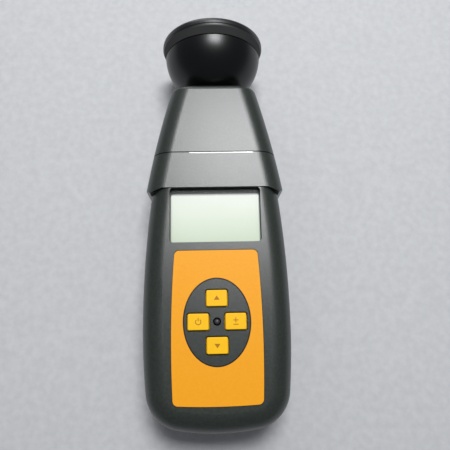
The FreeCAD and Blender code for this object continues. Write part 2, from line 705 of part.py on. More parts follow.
def build_rear_shell():
    bay_out = BAY_HALF + " + bay_wall"
    bay_block = block("bay_block", "-(%s)" % bay_out, bay_out,
                      BAY_LOW + " - bay_wall", BAY_TOP + " + bay_wall",
                      "wall_thickness / 2", "split_height")
    ledge_out = DOOR_HALF + " + 2 * bay_wall"
    ledge = common("door_ledge", case_inside,
                   block("ledge_block", "-(%s)" % ledge_out, ledge_out,
                         TAIL, BAY_LOW, "door_thickness + door_clearance",
                         "door_thickness + door_clearance + bay_wall"))
    added = [rear_half, bay_block, ledge]
    hole = block("bay_hole", "-" + BAY_HALF, BAY_HALF, BAY_LOW, BAY_TOP, "-wall_thickness", BAY_CEILING)
    reach = DOOR_HALF + " + door_clearance"
    way = block("door_way", "-(%s)" % reach, reach, TAIL, DOOR_TOP + " + door_clearance",
                "-wall_thickness", "door_thickness + door_clearance")
    deep = reach + " + tongue_width"
    groove = block("door_groove", "-(%s)" % deep, deep, TAIL, DOOR_TOP + " + door_clearance",
                   "door_thickness - tongue_depth - door_clearance", "door_thickness + door_clearance")
    holes = [hole, way, groove]
    for place, x, y, sink in CASE_SCREWS:
        for side, sx in both_sides(x):
            tag = "rear_boss_%s_%s" % (place, side)
            foot = "wall_thickness / 2" if place == "upper" else "door_thickness + door_clearance"
            added.append(rod(tag, "boss_radius + boss_flare", "split_height - (%s)" % foot,
                             sx, y, foot))
            holes.append(rod(tag + "_hole", "case_screw_radius + screw_play", "split_height", sx, y, "0"))
            holes.append(rod(tag + "_seat", "case_screw_head + screw_play", sink + " + wall_thickness",
                             sx, y, "-wall_thickness"))
    for place, y in HV_POSTS:
        for side, sx in both_sides("hv_post_x"):
            tag = "hv_post_%s_%s" % (place, side)
            added.append(rod(tag, "post_radius", "hv_height - wall_thickness / 2", sx, y,
                             "wall_thickness / 2"))
            holes.append(rod(tag + "_hole", "board_screw_radius", "board_screw_length", sx, y,
                             "hv_height - board_screw_length + board_thickness"))
    lug_y = along("at_seam + head_screw_rise")
    lug_low = "wall_thickness + neck_clearance"
    for side, sx in both_sides("head_screw_x"):
        web = block("lug_web_" + side, sx + " - lug_radius", sx + " + lug_radius",
                    along("at_seam - wall_thickness"), lug_y, lug_low, lug_low + " + lug_depth")
        lug = rod("lug_" + side, "lug_radius", "lug_depth", sx, lug_y, lug_low)
        added.extend([web, lug])
        holes.append(rod("lug_hole_" + side, "board_screw_radius", "head_screw_length", sx, lug_y, "0"))
    return cut("rear_shell", fuse("rear_shell_blank", *added), *holes)


node(build_rear_shell(), "rear_shell")


def build_door():
    plate = block("door_plate", "-" + DOOR_HALF, DOOR_HALF, TAIL, DOOR_TOP, "0", "door_thickness")
    reach = DOOR_HALF + " + tongue_width"
    tongues = block("door_tongues", "-(%s)" % reach, reach, TAIL, DOOR_TOP,
                    "door_thickness - tongue_depth", "door_thickness")
    blank = common("door_blank", case_outside, fuse("door_section", plate, tongues))
    grooves = []
    for index in range(int(number("grip_count"))):
        start = along("at_grip + %d * grip_spacing" % index)
        grooves.append(block("grip_%d" % index, "-grip_half_width", "grip_half_width",
                             start, start + " + grip_width", "-grip_depth", "grip_depth"))
    return cut("battery_door", blank, *grooves)


node(build_door(), "battery_door")

# Cells and their contacts


def cell_x(index):
    return "(%d - (cell_count - 1) / 2) * cell_spacing" % index


CELL_LOW = along("at_bay_low + leaf_reach")
CELLS = range(int(number("cell_count")))


def build_cell(index):
    """An AA cell along Y. Cells 0 and 2 point to the lamp, and cells 1 and 3 to the tail."""
    name = "battery_%d" % (index + 1)
    if index % 2 == 0:
        can_y, nub_y = CELL_LOW, CELL_LOW + " + cell_length"
    else:
        nub_y = BAY_TOP + " - leaf_reach - cell_length - nub_length"
        can_y = nub_y + " + nub_length"
    can = rod(name + "_can", "cell_radius", "cell_length", cell_x(index), can_y, "cell_height", ALONG_Y)
    nub = rod(name + "_nub", "nub_radius", "nub_length", cell_x(index), nub_y, "cell_height", ALONG_Y)
    return node(fuse(name, can, nub), name)


for cell in CELLS:
    build_cell(cell)


def contact_block(name, index, y_low, y_high, half_z="contact_half"):
    return block(name, cell_x(index) + " - contact_half", cell_x(index) + " + contact_half",
                 y_low, y_high, "cell_height - %s" % half_z, "cell_height + %s" % half_z)


def build_contacts():
    """Flat plates at each nub, and bent leaves at each flat end."""
    plates, leaves = [], []
    for index in CELLS:
        tail_leaf = index % 2 == 0
        at_tail = contact_block("contact_tail_%d" % index, index, BAY_LOW,
                                BAY_LOW + " + contact_thickness")
        at_top = contact_block("contact_top_%d" % index, index, BAY_TOP + " - contact_thickness", BAY_TOP)
        foot, plate = (at_tail, at_top) if tail_leaf else (at_top, at_tail)
        plates.append(plate)
        wall = BAY_LOW if tail_leaf else BAY_TOP
        way = "+" if tail_leaf else "-"
        near = "(%s %s contact_thickness)" % (wall, way)
        tip = "(%s %s leaf_reach)" % (wall, way)
        back = "(%s %s (leaf_reach - contact_thickness))" % (wall, way)
        low, middle, high = "cell_height - contact_half", "cell_height", "cell_height + contact_half"
        leaf = doc.addObject("PartDesign::Body", "leaf_%d" % index)
        drawing = outline(leaf, [
            (near, low + " + contact_thickness"), (tip, middle), (near, high),
            (near, high + " - contact_thickness"), (back, middle), (near, low + " + 2 * contact_thickness"),
        ], role="YZ_Plane", lift=cell_x(index) + " - contact_half / 2")
        doc.recompute()
        strip = leaf.newObject("PartDesign::Pad", "leaf_%d_pad" % index)
        strip.Profile = drawing
        bind(strip, "Length", "contact_half")
        leaves.append(fuse("leaf_contact_%d" % index, foot, leaf))
    node(group("battery_plates", *plates), "battery_plates")
    node(group("battery_leaves", *leaves), "battery_leaves")


build_contacts()

# Head cap


def build_head_cap():
    stretch = slab("head_stretch", HEAD_START, HEAD_END + " + wall_thickness")
    solid = common("head_solid", upper_outside, stretch)
    hollow = common("head_hollow", upper_inside,
                    slab("hollow_stretch", BODY_END, HEAD_END))
    hub = rod("head_hub", "cup_neck_radius + hub_wall", "hub_length + wall_thickness / 2", "0",
              HEAD_END + " - wall_thickness - hub_length", "lamp_height", ALONG_Y)
    bore = rod("head_bore", "cup_neck_radius + screw_play", "3 * hub_length + wall_thickness", "0",
               HEAD_END + " - wall_thickness - 2 * hub_length", "lamp_height", ALONG_Y)
    holes = [bore]
    for side, sx in both_sides("head_screw_x"):
        y = along("at_seam + head_screw_rise")
        holes.append(rod("head_screw_hole_" + side, "board_screw_radius + screw_play", "lug_depth",
                         sx, y, "-wall_thickness"))
        holes.append(rod("head_screw_seat_" + side, "board_screw_head + screw_play",
                         "2 * screw_head_depth", sx, y, "-screw_head_depth"))
    body = fuse("head_walls", cut("head_tube", solid, hollow), hub)
    return cut("head_cap", body, *holes)


node(build_head_cap(), "head_cap")

# Front panel and display


def build_display():
    panel = panel_form("panel_plate", "0", "case_depth - panel_thickness", FACE)
    hole = oval("panel_hole", "panel_gap", "split_height", "2 * case_depth")
    node(cut("front_panel", panel, hole), "front_panel")
    pane_x, pane_y = "window_width / 2 + window_margin", WINDOW_HALF_Y + " + window_margin"
    pane_low = PANE_TOP + " - pane_thickness"
    node(pad("display_window", rounded("0", WINDOW_MIDDLE, pane_x, pane_y, "window_corner"),
             pane_low, PANE_TOP), "display_window")
    glass_x, glass_y = "window_width / 2 + glass_margin", WINDOW_HALF_Y + " + glass_margin"
    glass_low = pane_low + " - glass_thickness"
    node(pad("display_glass", rounded("0", WINDOW_MIDDLE, glass_x, glass_y, "glass_margin"),
             glass_low, pane_low), "display_glass")
    outer = pad("holder_block", rounded("0", WINDOW_MIDDLE, glass_x + " + holder_wall",
                                        glass_y + " + holder_wall", "window_corner"),
                BOARD_FACE, pane_low)
    pocket = block("holder_pocket", "-(%s)" % glass_x, glass_x, WINDOW_MIDDLE + " - (%s)" % glass_y,
                   WINDOW_MIDDLE + " + " + glass_y, glass_low, "2 * case_depth")
    well_x = glass_x + " - holder_wall"
    well = block("holder_well", "-(%s)" % well_x, well_x, WINDOW_MIDDLE + " - (%s)" % glass_y,
                 WINDOW_MIDDLE + " + " + glass_y, "0", "2 * case_depth")
    node(cut("display_holder", outer, pocket, well), "display_holder")
    strips = []
    for side, sign in (("low", "-"), ("top", "+")):
        middle = "%s %s (%s - strip_width / 2)" % (WINDOW_MIDDLE, sign, glass_y)
        strips.append(block("strip_" + side, "-(%s)" % well_x, well_x, middle + " - strip_width / 2",
                            middle + " + strip_width / 2", BOARD_FACE, glass_low))
    node(group("contact_strips", *strips), "contact_strips")


build_display()

# Keypad

FLANGE_TOP = "case_depth - wall_thickness - key_play"
STEM_LOW = FLANGE_TOP + " - key_flange_depth - stem_length"
MAT_TOP = "(%s + mat_thickness)" % BOARD_FACE
DOME_TOP = "(%s - dome_play)" % STEM_LOW


def build_key(key, x, y):
    name = "key_" + key
    cap = pad(name + "_cap", rounded(x, y, "key_width / 2", "key_height / 2", "key_corner"),
              FLANGE_TOP + " - key_flange_depth / 2", "case_depth + key_proud")
    crown = number("case_depth + key_proud")
    dress(cap, "Fillet", "key_corner / 2", lambda e: level(e, crown))
    flange = pad(name + "_flange", rounded(x, y, "key_width / 2 + key_flange",
                                           "key_height / 2 + key_flange", "key_corner"),
                 FLANGE_TOP + " - key_flange_depth", FLANGE_TOP)
    stem = rod(name + "_stem", "stem_radius", "stem_length + key_flange_depth / 2", x, y, STEM_LOW)
    node(fuse(name, cap, flange, stem), name)


def build_dome(key, x, y):
    """A hollow rubber dome on the mat, closed at its top."""
    name = "key_dome_" + key
    outer = doc.addObject("Part::Cone", name + "_outer")
    inner = doc.addObject("Part::Cone", name + "_inner")
    for cone, skin, low in ((outer, "0", MAT_TOP), (inner, "dome_skin", MAT_TOP)):
        bind(cone, "Radius1", "dome_radius - " + skin)
        bind(cone, "Radius2", "dome_top_radius - " + skin)
        bind(cone, "Height", "%s - %s - %s" % (DOME_TOP, MAT_TOP, skin))
        put(cone, x, y, low)
    node(cut(name, outer, inner), name)


def build_keypad():
    mat = pad("mat_sheet", rounded("0", KEYPAD_Y, "mat_half_width", "mat_half_height", "board_corner"),
              BOARD_FACE, MAT_TOP)
    holes = [rod("mat_led_hole", "led_hole_radius + key_gap", "2 * case_depth", "0", KEYPAD_Y, "0")]
    for key, x, y in KEYS:
        holes.append(rod("mat_hole_" + key, "dome_radius - dome_skin", "2 * case_depth", x, y, "0"))
        build_key(key, x, y)
        build_dome(key, x, y)
    node(cut("keypad_mat", mat, *holes), "keypad_mat")


build_keypad()

# Boards and what they carry


def build_boards():
    board_top = "at_seam - board_setback"
    sheet_form = pad("main_sheet", rounded("0", along("(%s + at_board_low) / 2" % board_top), BOARD_HALF,
                                           "(%s - at_board_low) / 2" % board_top, "board_corner"),
                     BOARD_BACK, BOARD_FACE)
    holes, screws = [], []
    for place, y in BOARD_POSTS:
        for side, sx in both_sides(POST_X):
            tag = "%s_%s" % (place, side)
            holes.append(rod("main_hole_" + tag, "board_screw_radius + screw_play", "case_depth", sx, y))
            screws.append(screw("board_screw_" + tag, sx, y, BOARD_BACK, "board_screw_radius",
                                "board_screw_head", "board_screw_length + board_thickness", True))
    node(cut("main_board", sheet_form, *holes), "main_board")
    node(group("board_screws", *screws), "board_screws")

    hv_low = HV_POST_LOW + " - hv_post_margin"
    sheet_form = pad("hv_sheet", rounded("0", along("(%s + %s) / 2" % (HV_TOP, hv_low)), "hv_half_width",
                                         "(%s - (%s)) / 2" % (HV_TOP, hv_low), "board_corner"),
                     "hv_height", HV_FACE)
    holes, screws = [], []
    for place, y in HV_POSTS:
        for side, sx in both_sides("hv_post_x"):
            tag = "%s_%s" % (place, side)
            holes.append(rod("hv_hole_" + tag, "board_screw_radius + screw_play", "case_depth", sx, y))
            screws.append(screw("hv_screw_" + tag, sx, y, HV_FACE, "board_screw_radius",
                                "board_screw_head", "board_screw_length - board_thickness", False))
    node(cut("flash_board", sheet_form, *holes), "flash_board")
    node(group("flash_board_screws", *screws), "flash_board_screws")


def build_main_parts():
    led_top = "case_depth - led_sink - led_radius"
    stick = rod("led_stick", "led_radius", "%s - (%s)" % (led_top, BOARD_FACE), "0", KEYPAD_Y, BOARD_FACE)
    tip = doc.addObject("Part::Sphere", "led_tip")
    bind(tip, "Radius", "led_radius")
    put(tip, "0", KEYPAD_Y, led_top)
    node(fuse("indicator_lamp", stick, tip), "indicator_lamp")
    low = BOARD_BACK + " - chip_depth"
    chip_y = along("at_keypad")
    node(block("microcontroller", "-chip_size / 2", "chip_size / 2", chip_y + " - chip_size / 2",
               chip_y + " + chip_size / 2", low, BOARD_BACK), "microcontroller")
    node(pad("crystal", rounded("chip_size + crystal_width / 2", chip_y, "crystal_width / 2",
                                "crystal_length / 2", "crystal_corner"),
             BOARD_BACK + " - crystal_depth", BOARD_BACK), "crystal")


def build_flash_parts():
    """The parts of the lamp's high-voltage circuit, on the front face of the flash board."""
    height = "(%s + capacitor_radius)" % HV_FACE
    x = "hv_half_width - capacitor_radius - board_corner"
    can_y = along(HV_POST_TOP + " + capacitor_gap")
    can = rod("capacitor_can", "capacitor_radius", "capacitor_length", x, can_y, height, ALONG_Y)
    plug = rod("capacitor_plug", "capacitor_radius - coil_flange", "capacitor_length", x,
               can_y + " - coil_flange", height, ALONG_Y)
    node(fuse("flash_capacitor", can, plug), "flash_capacitor")
    core_x = "-hv_half_width + core_width / 2 + board_corner"
    core_y = along(HV_POST_TOP + " - hv_post_reach / 2")
    left, right = core_x + " - core_width / 2", core_x + " + core_width / 2"
    low, high = core_y + " - core_length / 2", core_y + " + core_length / 2"
    frame = block("core_block", left, right, low, high, HV_FACE, HV_FACE + " + core_depth")
    window = block("core_window", left + " + core_leg", right + " - core_leg", low + " + core_leg",
                   high + " - core_leg", HV_FACE + " - core_depth", HV_FACE + " + 2 * core_depth")
    bobbin = block("core_winding", left + " + core_leg / 2", right + " - core_leg / 2",
                   low + " + core_leg", high + " - core_leg",
                   HV_FACE + " + core_leg / 2", HV_FACE + " + core_depth - core_leg / 2")
    node(fuse("inverter_transformer", cut("core_frame", frame, window), bobbin), "inverter_transformer")
    coil_x = "-hv_half_width + coil_radius + coil_flange + board_corner"
    coil_z = "(%s + coil_radius + coil_flange)" % HV_FACE
    coil_y = along(HV_TOP + " - board_corner - coil_length")
    winding = rod("coil_winding", "coil_radius", "coil_length", coil_x, coil_y, coil_z, ALONG_Y)
    ends = [rod("coil_end_%d" % i, "coil_radius + coil_flange", "coil_flange", coil_x, y, coil_z, ALONG_Y)
            for i, y in enumerate((coil_y, coil_y + " + coil_length - coil_flange"))]
    node(fuse("trigger_coil", winding, *ends), "trigger_coil")


build_boards()
build_main_parts()
build_flash_parts()

# Case and head screws


def build_case_screws():
    screws = []
    for place, x, y, sink in CASE_SCREWS:
        for side, sx in both_sides(x):
            screws.append(screw("case_screw_%s_%s" % (place, side), sx, y, sink, "case_screw_radius",
                                "case_screw_head", "case_screw_length", True))
    node(group("case_screws", *screws), "case_screws")
    screws = [screw("head_screw_" + side, sx, along("at_seam + head_screw_rise"), "screw_head_depth",
                    "board_screw_radius", "board_screw_head", "head_screw_length - screw_head_depth", True)
              for side, sx in both_sides("head_screw_x")]
    node(group("head_screws", *screws), "head_screws")


build_case_screws()

# Lamp head, all turned about one axis

CUP_FOOT = "(" + HEAD_TOP + " + cup_seat_gap)"
CUP_CENTRE = "(" + CUP_FOOT + " + sqrt(cup_radius^2 - cup_foot_radius^2))"
RING_BACK = "(" + CUP_CENTRE + " - ring_setback)"
RING_FRONT = "(" + RING_BACK + " + ring_length)"
RING_RADIUS = "(cup_radius + ring_step)"
CUP_BACK = "(" + RING_BACK + " - ring_groove)"
COLLAR_OUT = "(" + RING_RADIUS + " - ring_lip_width / 2 - collar_play)"
COLLAR_IN = "(" + COLLAR_OUT + " - collar_wall)"
GASKET_LOW = "(" + RING_FRONT + " - ring_lip_depth - lens_thickness - gasket_thickness)"
THROAT = "(" + GASKET_LOW + " - reflector_play - reflector_depth)"


def on_ball(radius, distance):
    """Radius of the cup's round form at a distance from the tail end."""
    return "sqrt((%s)^2 - (%s - (%s))^2)" % (radius, CUP_CENTRE, distance)


def build_cup():
    inner = "cup_radius - cup_wall"
    floor = CUP_FOOT + " + cup_floor"
    bend = "%s - sqrt((%s)^2 - %s^2)" % (CUP_CENTRE, inner, COLLAR_IN)
    neck_end = "%s - cup_neck_length" % CUP_FOOT
    bore = "cup_neck_radius - cup_neck_wall"
    node(turned("lamp_cup", [
        ("cup_neck_radius", neck_end),
        ("cup_neck_radius", CUP_FOOT),
        ("cup_foot_radius", CUP_FOOT),
        (on_ball("cup_radius", CUP_BACK), CUP_BACK, "cup_radius", 1),
        (COLLAR_OUT, CUP_BACK),
        (COLLAR_OUT, GASKET_LOW),
        (COLLAR_IN, GASKET_LOW),
        (COLLAR_IN, bend),
        (on_ball(inner, floor), floor, inner, -1),
        (bore, floor),
        (bore, neck_end),
    ]), "lamp_cup")
    nut_top = HEAD_TOP + " - wall_thickness - hub_length"
    nut_out = "cup_neck_radius + nut_wall"
    node(turned("cup_nut", [
        ("cup_neck_radius", nut_top + " - nut_length"),
        (nut_out, nut_top + " - nut_length"),
        (nut_out, nut_top),
        ("cup_neck_radius", nut_top),
    ]), "cup_nut")


def build_ring():
    lip_in = RING_RADIUS + " - ring_lip_width"
    bore = RING_RADIUS + " - ring_lip_width / 2"
    band = RING_RADIUS + " - ring_edge"
    step = RING_BACK + " + ring_band"
    node(turned("cup_ring", [
        (bore, RING_BACK),
        (band + " - ring_band_step", RING_BACK),
        (band, step),
        (RING_RADIUS, step + " + ring_edge"),
        (RING_RADIUS, RING_FRONT + " - ring_lip_radius"),
        (RING_RADIUS + " - ring_lip_radius", RING_FRONT, "ring_lip_radius", 1),
        (lip_in, RING_FRONT + " - ring_edge"),
        (lip_in, RING_FRONT + " - ring_lip_depth"),
        (bore, RING_FRONT + " - ring_lip_depth"),
    ]), "cup_ring")
    lens_low = GASKET_LOW + " + gasket_thickness"
    lens_top = lens_low + " + lens_thickness"
    glass = lip_in + " - collar_play"
    curve = "((%s)^2 + lens_bulge^2) / (2 * lens_bulge)" % glass
    node(turned("front_lens", [
        ("0", lens_low),
        (COLLAR_OUT, lens_low),
        (COLLAR_OUT, lens_top),
        (glass, lens_top),
        ("0", lens_top + " + lens_bulge", curve, 1),
    ]), "front_lens")
    node(turned("lens_gasket", [
        (COLLAR_IN, GASKET_LOW),
        (COLLAR_OUT, GASKET_LOW),
        (COLLAR_OUT, lens_low),
        (COLLAR_IN, lens_low),
    ]), "lens_gasket")


def build_reflector():
    rim = THROAT + " + reflector_depth"
    bowl = COLLAR_IN + " - reflector_flange"
    node(turned("reflector", [
        ("reflector_hole + reflector_skin", THROAT),
        (bowl, rim + " - reflector_skin", "reflector_curve", 1),
        (COLLAR_IN + " - collar_play", rim + " - reflector_skin"),
        (COLLAR_IN + " - collar_play", rim),
        (bowl + " - reflector_skin", rim),
        ("reflector_hole", THROAT + " + reflector_skin", "reflector_curve - reflector_skin", -1),
        ("reflector_hole", THROAT),
    ]), "reflector")


def build_lamp():
    """A ceramic base with a bent flash tube, its trigger bands, pins and leads."""
    wide_top = CUP_FOOT + " + cup_floor"
    wide_low = wide_top + " - base_length"
    nose_top = wide_top + " + base_nose_length"
    blank = turned("base_blank", [
        ("0", wide_low),
        ("cup_neck_radius - cup_neck_wall - collar_play", wide_low),
        ("cup_neck_radius - cup_neck_wall - collar_play", wide_top),
        ("base_nose_radius", wide_top),
        ("base_nose_radius", nose_top),
        ("0", nose_top),
    ])
    foot = along(nose_top + " - tube_seat")
    holes, pins, legs, bands = [], [], [], []
    for side, sx in both_sides("tube_leg_x"):
        holes.append(rod("leg_hole_" + side, "tube_radius", "2 * tube_seat", sx, foot, "lamp_height",
                         ALONG_Y))
        holes.append(rod("pin_hole_" + side, "pin_radius", "2 * base_length + base_nose_length", sx,
                         along(wide_low + " - base_length"), "lamp_height", ALONG_Y))
        pins.append(rod("lamp_pin_" + side, "pin_radius",
                        "base_length + base_nose_length - tube_seat + pin_length", sx,
                        along(wide_low + " - pin_length"), "lamp_height", ALONG_Y))
        legs.append(rod("leg_" + side, "tube_radius", "tube_leg_length", sx, foot, "lamp_height", ALONG_Y))
        band_y = foot + " + tube_seat + tube_leg_length / 3"
        sleeve = rod("sleeve_" + side, "tube_radius + band_skin", "band_length", sx, band_y,
                     "lamp_height", ALONG_Y)
        core = rod("sleeve_core_" + side, "tube_radius", "2 * band_length", sx,
                   band_y + " - band_length / 2", "lamp_height", ALONG_Y)
        bands.append(cut("band_" + side, sleeve, core))
    arch = doc.addObject("Part::Torus", "tube_arch")
    bind(arch, "Radius1", "tube_leg_x")
    bind(arch, "Radius2", "tube_radius")
    put(arch, "0", foot + " + tube_leg_length", "lamp_height")
    arch_half = common("tube_arch_half", arch, block("arch_stretch", "-2 * cup_radius", "2 * cup_radius",
                                                     foot + " + tube_leg_length",
                                                     foot + " + 2 * tube_leg_length",
                                                     "-case_depth", "2 * case_depth"))
    node(cut("lamp_base", blank, *holes), "lamp_base")
    node(fuse("flash_tube", arch_half, *legs), "flash_tube")
    node(group("lamp_pins", *pins), "lamp_pins")
    node(group("trigger_bands", *bands), "trigger_bands")
    build_leads(number(along(wide_low + " - pin_length")))


def build_leads(start):
    """Three insulated wires from the lamp base, round one bend, down to the flash board."""
    radius, bend, run = number("lead_radius"), number("lead_bend"), number("lead_run")
    axis, foot = number("lamp_height"), number(HV_FACE)
    wires = []
    for share in (-1, 1):
        x = share * number("tube_leg_x")
        a = FreeCAD.Vector(x, start, axis)
        b = FreeCAD.Vector(x, start - run, axis)
        turn = math.sqrt(0.5) * bend
        c = FreeCAD.Vector(x, b.y - turn, axis - bend + turn)
        d = FreeCAD.Vector(x, b.y - bend, axis - bend)
        e = FreeCAD.Vector(x, d.y, foot)
        path = Part.Wire([Part.LineSegment(a, b).toShape(), Part.Arc(b, c, d).toShape(),
                          Part.LineSegment(d, e).toShape()])
        section = Part.Wire(Part.makeCircle(radius, a, FreeCAD.Vector(0, -1, 0)))
        wires.append(path.makePipeShell([section], True, False))
    leads = doc.addObject("Part::Feature", "lamp_leads")
    leads.Shape = Part.makeCompound(wires)
    node(leads, "lamp_leads")


build_cup()
build_ring()
build_reflector()
build_lamp()
doc.recompute()

# Checks and files


def check_document():
    for thing in doc.Objects:
        if "Invalid" in thing.State or "Error" in thing.State:
            raise RuntimeError("%s is not built: %s" % (thing.Name, thing.State))
    for thing in NODES:
        if thing.Shape.isNull() or not thing.Shape.isValid() or not thing.Shape.Solids:
            raise RuntimeError("%s has no valid solid" % thing.Label)


def write_files():
    os.makedirs("parts", exist_ok=True)
    for thing in NODES:
        thing.Shape.exportStep(os.path.join("parts", thing.Label + ".step"))
        box = thing.Shape.BoundBox
        print("%-22s %2d solids %9.1f mm3  X %6.1f %6.1f  Y %6.1f %6.1f  Z %6.1f %6.1f" % (
            thing.Label, len(thing.Shape.Solids), thing.Shape.Volume,
            box.XMin, box.XMax, box.YMin, box.YMax, box.ZMin, box.ZMax))


check_document()
write_files()
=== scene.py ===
import json
import math
from collections import namedtuple

import bmesh
import bpy
from mathutils import Matrix, Vector


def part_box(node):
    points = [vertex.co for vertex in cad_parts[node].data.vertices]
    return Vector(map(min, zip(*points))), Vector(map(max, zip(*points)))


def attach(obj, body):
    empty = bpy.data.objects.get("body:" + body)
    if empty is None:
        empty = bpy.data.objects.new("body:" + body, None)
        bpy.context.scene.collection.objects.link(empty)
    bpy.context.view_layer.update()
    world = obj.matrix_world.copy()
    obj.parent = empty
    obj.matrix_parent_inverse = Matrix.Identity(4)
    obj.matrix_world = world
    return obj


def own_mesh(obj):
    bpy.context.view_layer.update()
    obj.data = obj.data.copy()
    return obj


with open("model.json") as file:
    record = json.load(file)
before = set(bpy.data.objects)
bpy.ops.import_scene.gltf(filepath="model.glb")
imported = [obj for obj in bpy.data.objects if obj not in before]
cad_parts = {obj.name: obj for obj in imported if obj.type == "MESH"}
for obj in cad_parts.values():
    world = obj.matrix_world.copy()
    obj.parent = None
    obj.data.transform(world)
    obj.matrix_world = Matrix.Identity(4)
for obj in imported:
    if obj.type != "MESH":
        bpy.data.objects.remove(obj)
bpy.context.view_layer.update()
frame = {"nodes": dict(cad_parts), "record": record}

# Handheld xenon stroboscope lying on its back. +X is to the right of the display, +Y towards the lamp
# and +Z out of the front. Everything is in metres and takes its place from the frame's nodes.

MM = 0.001
NODES = frame["nodes"]
KEYS = ("key_up", "key_down", "key_left", "key_right")

# Prints and strips: how deep they sit in a face, and how far they stand out of it
PRINT_SUNK = 0.05 * MM
PRINT_PROUD = PRINT_SUNK / 2

# Display: the glass beyond its opening, then the painted shade on it, measured from the opening's edges: a
# painted shadow under the hood along its top, and thin painted shade along the recess walls round the rest
GLASS_MARGIN = 0.9 * MM
HOOD_SHADOW = 3.0 * MM
HOOD_SHADOW_BLUR = 0.7 * MM
SHADE_FRAME_RISE = 0.4 * MM
SHADE_FRAME_SIDE = 0.3 * MM
SHADE_FRAME_FOOT = 0.35 * MM
SHADE_FRAME_CORNER = 1.7 * MM
SHADE_FRAME_BLUR = 0.15 * MM

# Ring, from its rear edge: where it turns satin, and where its wide front band starts
RING_GLOSS = 4.1 * MM
RING_GLOSS_BLUR = 0.4 * MM
RING_BAND = 5.3 * MM

# Hood's edge: the open seam, and the painted glint along the edge, a pale glossy strip
SEAM_GAP = 0.5 * MM
GLINT_HALF = 0.22 * MM
GLINT_START = -12.9 * MM
GLINT_END = 20.0 * MM

# Keys: the cap's own outline, because a key's box takes in its hidden flange too
KEY_HALF_X = 5.05 * MM
KEY_HALF_Y = 3.9 * MM
KEY_CORNER = 0.8 * MM
KEY_GAP = 0.4 * MM

# Painted shade lines: their width round a key, and how far they reach out and in from the keypad's oval
GAP_SHADE_WIDTH = 0.25 * MM
OVAL_HALF_X = 16.2 * MM
OVAL_HALF_Y = 20.8 * MM
OVAL_OUT = 0.2 * MM
OVAL_IN = 0.35 * MM

# Marks on the keys: the radius of the round one, the width of a line, and the parts of each mark
MARK = 1.5 * MM
STROKE = 0.42 * MM
ARROW_HALF = 0.95 * MARK
ARROW_FOOT = 0.55 * MARK
ARROW_TIP = 0.85 * MARK
STANDBY_START = 125
STANDBY_END = 415
STANDBY_RISE = 0.75 * MARK
STANDBY_HALF = 0.55 * MARK
SIGN_HALF = 0.8 * MARK
PLUS_RISE = 0.4 * MARK
ARM_REACH = 0.47 * MARK
ARM_HALF = 0.33 * MARK
MINUS_DROP = 0.95 * MARK

# Straight steps that stand for a round outline
ARC_STEPS = 28
OVAL_STEPS = 96
CORNER_STEPS = 6

# Floor: where the tail touches it, from the tail's end, and its rows along Y
TAIL_ROUNDING = 4.8 * MM
FLOOR_GAP = 0.1 * MM
FLOOR_REACH = 2.5
FLOOR_FINE = 5 * MM
FLOOR_ROWS = 36
FLOOR_BEND = 10 * MM

# The screen's colour curve: a straight foot, and a power with an offset above it
SCREEN_FULL = 255
CURVE_FOOT = 0.04045
CURVE_SLOPE = 12.92
CURVE_OFFSET = 0.055
CURVE_POWER = 2.4


def srgb(red, green, blue):
    """A colour given as a screen shows it, from 0 to 255, as linear fractions."""
    def linear(value):
        share = value / SCREEN_FULL
        if share <= CURVE_FOOT:
            return share / CURVE_SLOPE
        return ((share + CURVE_OFFSET) / (1 + CURVE_OFFSET)) ** CURVE_POWER
    return (linear(red), linear(green), linear(blue), 1.0)


# The deeper and the paler tone of each surface
HOUSING_TONES = (srgb(34, 41, 36), srgb(43, 50, 45))
PANEL_TONES = (srgb(246, 164, 20), srgb(250, 169, 26))
KEY_TONES = (srgb(252, 192, 4), srgb(255, 198, 8))
LEGEND_TONES = (srgb(176, 116, 22), srgb(176, 116, 22))
# Painted shade in the gaps round the keys and along the keypad's oval
GAP_SHADE_TONES = (srgb(20, 18, 16), srgb(20, 18, 16))
# Painted glint: the pale tone of the strip along the hood's edge
GLINT_TONES = (srgb(43, 50, 45), srgb(120, 124, 123))
CUP_TONES = (srgb(4, 5, 6), srgb(7, 9, 10))
# The display's paler tone is a painted sheen towards its top
DISPLAY_SHEEN_TONES = (srgb(210, 224, 200), srgb(252, 255, 247))
INDICATOR_TONES = (srgb(64, 60, 62), srgb(84, 80, 82))
RUBBER_TONES = (srgb(22, 22, 24), srgb(34, 34, 36))
PALE_RUBBER_TONES = (srgb(150, 152, 150), srgb(168, 170, 168))
BOARD_TONES = (srgb(16, 84, 44), srgb(26, 104, 56))
CHIP_TONES = (srgb(26, 26, 28), srgb(38, 38, 40))
CERAMIC_TONES = (srgb(226, 222, 212), srgb(238, 235, 228))
CELL_TONES = (srgb(30, 60, 90), srgb(44, 78, 110))
HOLDER_TONES = (srgb(214, 216, 212), srgb(226, 227, 224))
LEAD_TONES = (srgb(130, 24, 20), srgb(150, 36, 30))
FLOOR_TONES = (srgb(192, 193, 196), srgb(202, 203, 205))

# Surfaces of one tone
# Painted shade on the display: the hood's shadow along its top and the shaded recess walls round it
DISPLAY_SHADE = srgb(34, 36, 33)
MIRROR = srgb(225, 226, 228)
STEEL = srgb(178, 178, 176)
BLACK_STEEL = srgb(48, 48, 50)
COPPER = srgb(200, 130, 90)
PANE_TINT = (1.0, 1.0, 1.0, 1.0)
LENS_TINT = (0.97, 0.98, 1.0, 1.0)
TUBE_TINT = (0.98, 0.98, 1.0, 1.0)

# Noise scales, in cells per metre
FINE_GRAIN = 5200.0
GRAIN = 2600.0
SCRATCH = 1500.0
FLECK = 900.0
BRUSHING = 700.0
FIBRE = 260.0
RIPPLE = 120.0
MOTTLE = 90.0
CLOUD = 28.0

# Where a factor from 0 to 1 turns from the deeper tone to the paler one
WHOLE = (0.0, 1.0)
FLECK_TURN = (0.35, 0.65)
FILM_TURN = (0.3, 0.7)
CLOUD_TURN = (0.35, 0.7)

